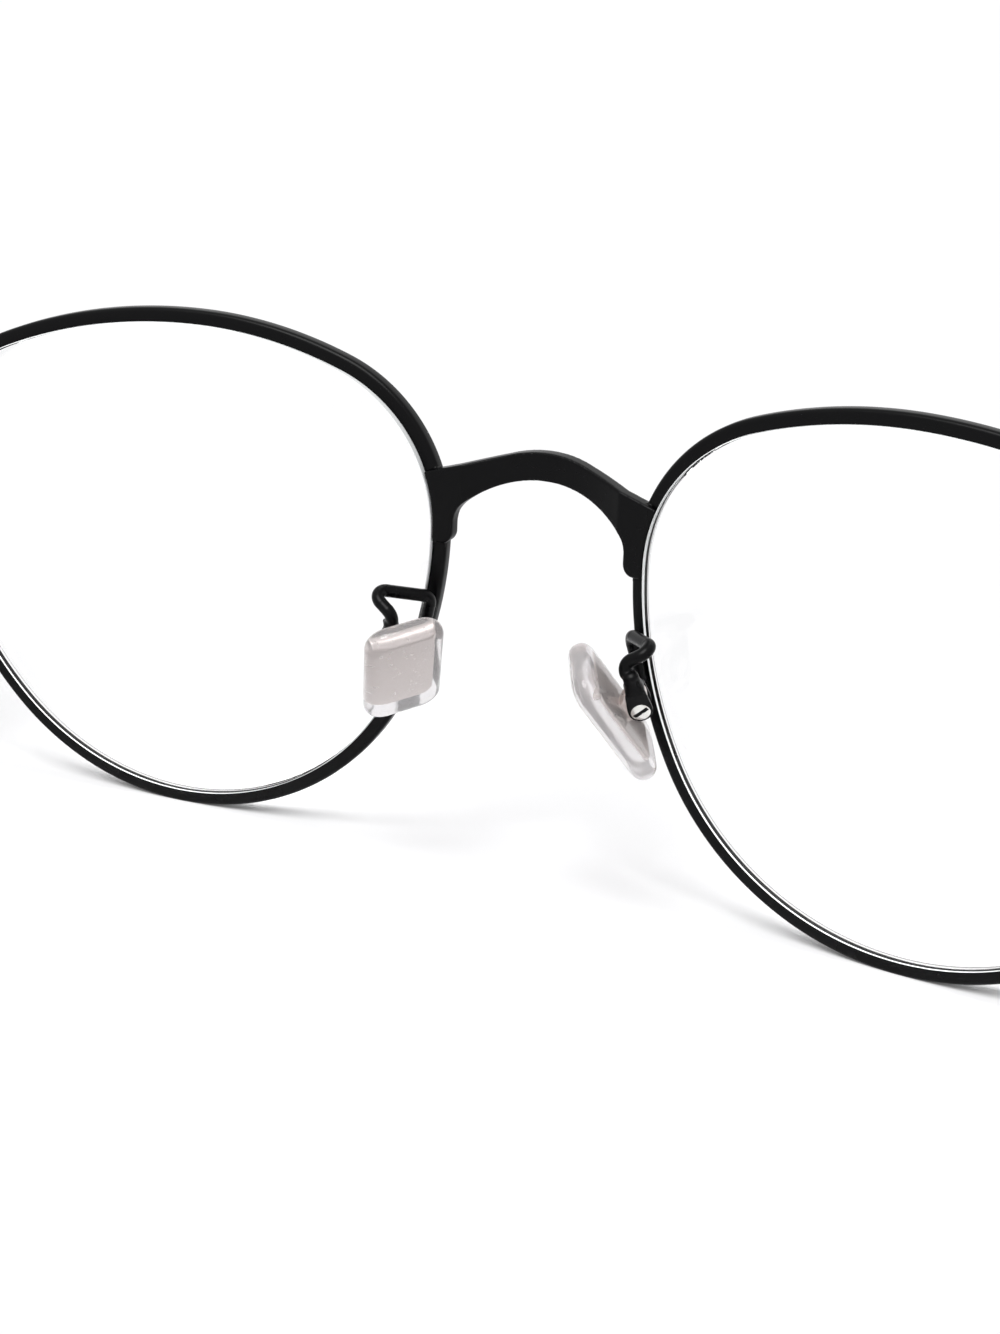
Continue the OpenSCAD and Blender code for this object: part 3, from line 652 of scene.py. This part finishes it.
def padPlace(side):
    # from a pad's own axes (x along the screw, y away from the nose, z up it) to the frame
    own = Matrix.Rotation(math.radians(nosePad["leftTurn"] if side == "left" else 0), 4, "Z")
    turn = Matrix.Identity(4)
    for axis, degrees in (("Z", nosePad["toe"]), ("Y", nosePad["roll"]), ("X", nosePad["lean"])):
        turn = turn @ Matrix.Rotation(math.radians(degrees), 4, axis)
    spot = Matrix.Translation((nosePad["x"], frontY + nosePad["y"], lensZ + nosePad["z"]))
    flip = Matrix.Diagonal((sides[side], 1, 1, 1))
    return Matrix.Scale(mm, 4) @ flip @ spot @ turn @ own


def slabOutline(width, length, corner, inset):
    # points (x, z) of a rectangle with round corners, drawn in by an inset
    w, l, r = width / 2 - inset, length / 2 - inset, max(corner - inset, 0.05)
    points = []
    for quarter, (sx, sz) in enumerate(((1, 1), (-1, 1), (-1, -1), (1, -1))):
        for k in range(nosePad["cornerSteps"] + 1):
            t = math.radians(90) * (quarter + k / nosePad["cornerSteps"])
            points.append((sx * (w - r) + r * math.cos(t), sz * (l - r) + r * math.sin(t)))
    return points


def makeNosePads():
    w, l, c, e = (nosePad[k] for k in ("wide", "long", "corner", "edge"))
    half = nosePad["thick"] / 2
    flat = half - nosePad["crown"]
    rings = []
    for sign in (-1, 1):
        swell = [(share, sign * (half + nosePad["crown"] * (1 - share * share) - nosePad["crown"]))
                 for share in nosePad["crownShares"]]
        crown = [[(x * share, y, z * share) for x, z in slabOutline(w, l, c, e)] for share, y in swell]
        curve = []
        for k in range(nosePad["edgeSteps"] + 1):
            t = math.radians(90) * k / nosePad["edgeSteps"]
            y = sign * (flat - e + e * math.sin(t))
            curve.append([(x, y, z) for x, z in slabOutline(w, l, c, e * (1 - math.cos(t)))])
        rings += crown + curve[::-1] if sign < 0 else curve + crown[::-1]
    bow = nosePad["bow"] * 4 / l ** 2
    rings = [[(x, y + bow * z * z * (half - y) / (2 * half), z) for x, y, z in ring] for ring in rings]
    for side in sides:
        mesh = meshFromRings("siliconePad_" + side, rings)
        mesh.transform(padPlace(side))
        if side == "left":
            mesh.flip_normals()
        mesh.materials.append(finishes["silicone"])
        smoothFaces(mesh, nosePad["sharp"])
        finishPiece("siliconePad_" + side, mesh, "nose_pad_" + side + "_body", "pad_silicone", "nose_pad_" + side)
    print("pads moulded:", len(mesh.polygons), "faces each")


def prism(outline, low, high):
    # an outline (y, z) carried along x
    return meshFromRings("prism", [[(x, y, z) for y, z in outline] for x in (low, high)])


padCore = {
    "wide": 5.2, "long": 8.9, "thick": 0.26, "corner": 1.0,
    "face": 0.53,  # the plate's nose side, from the pad's middle
    "beadOut": -0.02, "beadRadius": 0.29, "beadHalf": 2.5, "beadZ": 4.4,  # the upper end, rolled over
    "lugRadius": 0.8, "lugHalf": 0.46,  # the eye that takes the screw
    "discBack": 0.3, "discDeep": 0.9, "discUp": 1.25, "discTall": 1.0,
    "webTop": 1.9, "webOut": 0.3, "webIn": 0.5,  # the strip between plate and eye
    "steps": 32, "voxel": 0.06, "softening": 3,
}


def oval(y, z, deep, tall):
    # points (y, z) round an oval
    turns = [2 * math.pi * k / padCore["steps"] for k in range(padCore["steps"])]
    return [(y + deep * math.cos(t), z + tall * math.sin(t)) for t in turns]


def padCoreParts():
    # in the pad's axes: the plate, its upper end rolled over towards the nose, and the lug that takes the screw
    c = padCore
    plate = [[(x, y, z) for x, z in slabOutline(c["wide"], c["long"], c["corner"], 0)]
             for y in (c["face"], c["face"] + c["thick"])]
    back, low = nosePad["axisBack"], -nosePad["axisDrop"]
    bead = oval(c["face"] + c["beadOut"], c["beadZ"], c["beadRadius"], c["beadRadius"])
    eye = oval(back, low, c["lugRadius"], c["lugRadius"])
    disc = oval(back + c["discBack"], low + c["discUp"], c["discDeep"], c["discTall"])
    web = [(c["face"], low - c["lugRadius"]), (back, low - c["lugRadius"]), (back + c["webOut"], low + c["webTop"]),
           (back - c["webIn"], low + c["webTop"]), (c["face"], low + c["lugRadius"])]
    return [meshFromRings("plate", plate), prism(bead, -c["beadHalf"], c["beadHalf"])] + [
        prism(outline, -c["lugHalf"], c["lugHalf"]) for outline in (eye, disc, web)]


def makePadCores():
    for side in sides:
        parts = padCoreParts()
        for mesh in parts:
            mesh.transform(padPlace(side))
        mesh = meltedPiece("padPlate_" + side, [], parts, padCore["voxel"], padCore["softening"], padPlace(side))
        if side == "left":
            mesh.flip_normals()
        mesh.materials.append(finishes["core"])
        finishPiece("padPlate_" + side, mesh, "nose_pad_" + side + "_body", "pad_core", "pad_core_" + side)
    print("pad plates made:", len(mesh.polygons), "faces each")


padArm = {
    "stubLow": -4.4, "stubHigh": 0.4,
    "voxel": 0.05, "softening": 10,
    "cheekRadius": 1.02, "cheekHalf": 0.85, "cheekThick": 0.35, "cheekTop": 1.95,
    "shoulderZ": 0.4,  # where the cheek's round end begins
    "boxHalf": 0.875, "tilt": 14,
    "endSteps": 24, "neckSteps": 40,
    "neck": ((1.7, 0.86, 0.82, 0.4), (2.15, 0.84, 0.8, 0.5), (2.6, 0.73, 0.7, 0.8), (3.0, 0.66, 0.68, 1.0),
             (3.3, 0.64, 0.68, 1.0), (3.55, 0.52, 0.56, 1.0), (3.72, 0.25, 0.3, 1.0)),
}  # each ring of the neck: height, two half widths, and a power that is 1 for round and less for square


def padBox(place):
    # the folded box in its own axes: two cheeks with round ends, and a neck that narrows to the wire
    r, half, out, plate, top, shoulder = (padArm[k] for k in (
        "cheekRadius", "cheekHalf", "boxHalf", "cheekThick", "cheekTop", "shoulderZ"))
    ends = [math.pi + math.pi * k / padArm["endSteps"] for k in range(padArm["endSteps"] + 1)]
    outline = [(r * math.cos(t), r * math.sin(t)) for t in ends]
    outline += [(r, shoulder), (half, top), (-half, top), (-r, shoulder)]
    parts = [prism(outline, -out, plate - out), prism(outline, out - plate, out)]
    turns = [2 * math.pi * k / padArm["neckSteps"] for k in range(padArm["neckSteps"])]
    neck = []
    for z, x, y, power in padArm["neck"]:
        neck.append([(math.copysign(abs(math.cos(t)) ** power, math.cos(t)) * x,
                      math.copysign(abs(math.sin(t)) ** power, math.sin(t)) * y, z) for t in turns])
    parts.append(meshFromRings("neck", neck))
    own = place @ Matrix.Translation((0, nosePad["axisBack"], -nosePad["axisDrop"]))
    own = own @ Matrix.Rotation(math.radians(-padArm["tilt"]), 4, "X")
    for mesh in parts:
        mesh.transform(own)
    return parts


def makePadArms():
    stub = rimStub(padArm["stubLow"], padArm["stubHigh"])
    for side in sides:
        local = stub if side == "right" else mirroredMesh(stub, "stubLeft")
        mesh = meltedPiece("padArm_" + side, ["pad_arm_" + side], [local] + padBox(padPlace(side)),
                           padArm["voxel"], padArm["softening"])
        mesh.materials.append(finishes["lacquer"])
        finishPiece("padArm_" + side, mesh, "front", "frame_paint", "pad_arm_" + side, "pad_box_" + side)
        print("pad arm and box melted:", len(mesh.polygons), "faces")


# Screws

screws = {
    "pad": {"node": "pad_screw", "headRadius": 0.82, "headTall": 0.2, "shankRadius": 0.5, "shankLong": 1.7,
            "edge": 0.05, "dome": 0.03, "slotWide": 0.36, "slotLong": 1.4, "slotDeep": 0.1, "slotTurn": 101.7,
            "headX": 0.72},  # the head's underside, out along the screw from the box's middle
    "closing": {"node": "closing_screw", "headRadius": 0.85, "headTall": 0.34, "shankRadius": 0.5,
                "shankLong": 3.85, "edge": 0.08, "dome": 0.06, "slotWide": 0.25, "slotLong": 4.0, "slotDeep": 0.2,
                "slotTurn": 20, "down": True},
    "hinge": {"node": "hinge_screw", "headRadius": 0.85, "headTall": 0.34, "shankRadius": 0.5,
              "shankLong": 3.2, "edge": 0.08, "dome": 0.06, "slotWide": 0.25, "slotLong": 4.0, "slotDeep": 0.2,
              "slotTurn": 65, "down": False},
}
screwSharp = 25


def screwTree():
    # a line turned round the z axis, with a slot milled across its head
    tree, given = newTree("slottedScrew", {
        "Profile": ("Geometry", None), "Top": ("Float", 1.0), "Slot Width": ("Float", 0.25),
        "Slot Length": ("Float", 4.0), "Slot Depth": ("Float", 0.1), "Slot Turn": ("Float", 0.0),
        "Steps": ("Int", 48), "Material": ("Material", None)}, "Screw")
    circle = addNode(tree, "GeometryNodeCurvePrimitiveCircle", {"Resolution": given["Steps"], "Radius": 1.0})
    turned = addNode(tree, "GeometryNodeCurveToMesh", {"Curve": circle.outputs["Curve"],
                                                       "Profile Curve": given["Profile"]})
    body = addNode(tree, "GeometryNodeMergeByDistance", {"Geometry": turned.outputs[0], "Distance": 0.0005})
    deep = addNode(tree, "ShaderNodeMath", {0: given["Slot Depth"], 1: 2.0}, operation="MULTIPLY")
    size = addNode(tree, "ShaderNodeCombineXYZ", {"X": given["Slot Length"], "Y": given["Slot Width"],
                                                  "Z": deep.outputs[0]})
    cutter = addNode(tree, "GeometryNodeMeshCube", {"Size": size.outputs[0]})
    lift = addNode(tree, "ShaderNodeCombineXYZ", {"Z": given["Top"]})
    spin = addNode(tree, "ShaderNodeCombineXYZ", {"Z": given["Slot Turn"]})
    placed = addNode(tree, "GeometryNodeTransform", {"Geometry": cutter.outputs["Mesh"],
                                                     "Translation": lift.outputs[0], "Rotation": spin.outputs[0]})
    milled = addNode(tree, "GeometryNodeMeshBoolean", {"Mesh 1": body.outputs[0], "Mesh 2": placed.outputs[0]},
                     operation="DIFFERENCE", solver="EXACT")
    real = addNode(tree, "GeometryNodeRealizeInstances", {"Geometry": milled.outputs[0]})
    done = addNode(tree, "GeometryNodeSetMaterial", {"Geometry": real.outputs[0], "Material": given["Material"]})
    addNode(tree, "NodeGroupOutput", {"Screw": done.outputs[0]})
    return tree


def screwMesh(size, name):
    # a screw along +z with its head's underside at z = 0; the tree's circle of radius 1 adds to the line's x
    head, tall, shank, long, edge, dome = (size[k] for k in (
        "headRadius", "headTall", "shankRadius", "shankLong", "edge", "dome"))
    turned = [(0, -long), (shank - edge, -long), (shank, -long + edge), (shank, 0), (head - edge / 2, 0),
              (head, edge / 2), (head, tall - edge), (head - edge * 0.3, tall - edge * 0.3), (head - edge, tall),
              (head * 0.5, tall + dome * 0.75), (0, tall + dome)]
    path = lineObject(name, [(r - 1, -z, 0) for r, z in turned], False)
    return runTree(path, slottedScrew, {
        "Top": tall + dome, "Slot Width": size["slotWide"], "Slot Length": size["slotLong"],
        "Slot Depth": size["slotDeep"], "Slot Turn": math.radians(size["slotTurn"]), "Material": finishes["screw"]})


def makeScrews():
    alongX = Matrix.Rotation(math.radians(90), 4, "Y") @ Matrix.Rotation(math.radians(180), 4, "Z")
    spot = Matrix.Translation((screws["pad"]["headX"], nosePad["axisBack"], -nosePad["axisDrop"]))
    for kind, size in screws.items():
        for side in sides:
            mesh = screwMesh(size, kind + "Screw_" + side)
            if kind == "pad":
                place = padPlace(side) @ spot @ alongX
            else:
                lo, hi = (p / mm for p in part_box(size["node"] + "_" + side))
                z = lo.z + size["headTall"] if size["down"] else hi.z - size["headTall"]
                place = Matrix.Scale(mm, 4) @ Matrix.Translation(((lo.x + hi.x) / 2, (lo.y + hi.y) / 2, z))
                if size["down"]:
                    place = place @ Matrix.Rotation(math.pi, 4, "X")
            mesh.transform(place)
            if place.determinant() < 0:
                mesh.flip_normals()
            mesh.materials.clear()
            mesh.materials.append(finishes["screw"])
            for face in mesh.polygons:
                face.material_index = 0
            smoothFaces(mesh, screwSharp)
            finishPiece(kind + "Screw_" + side, mesh, "front", "screw", size["node"] + "_" + side)
    print("screws turned:", 2 * len(screws))


sweptWire = sweepTree()
slottedScrew = screwTree()
makeRims()
makeLenses()
makeBridge()
makePadArms()
makeNosePads()
makePadCores()
makeScrews()
makeHardware()

# The temple bars and tips keep the frame's own solids
stays = {"lacquer": "temple", "acetate": "temple_tip"}
for finish, name in stays.items():
    for side in sides:
        slots = cadNodes[name + "_" + side].data.materials
        slots.clear()
        slots.append(finishes[finish])
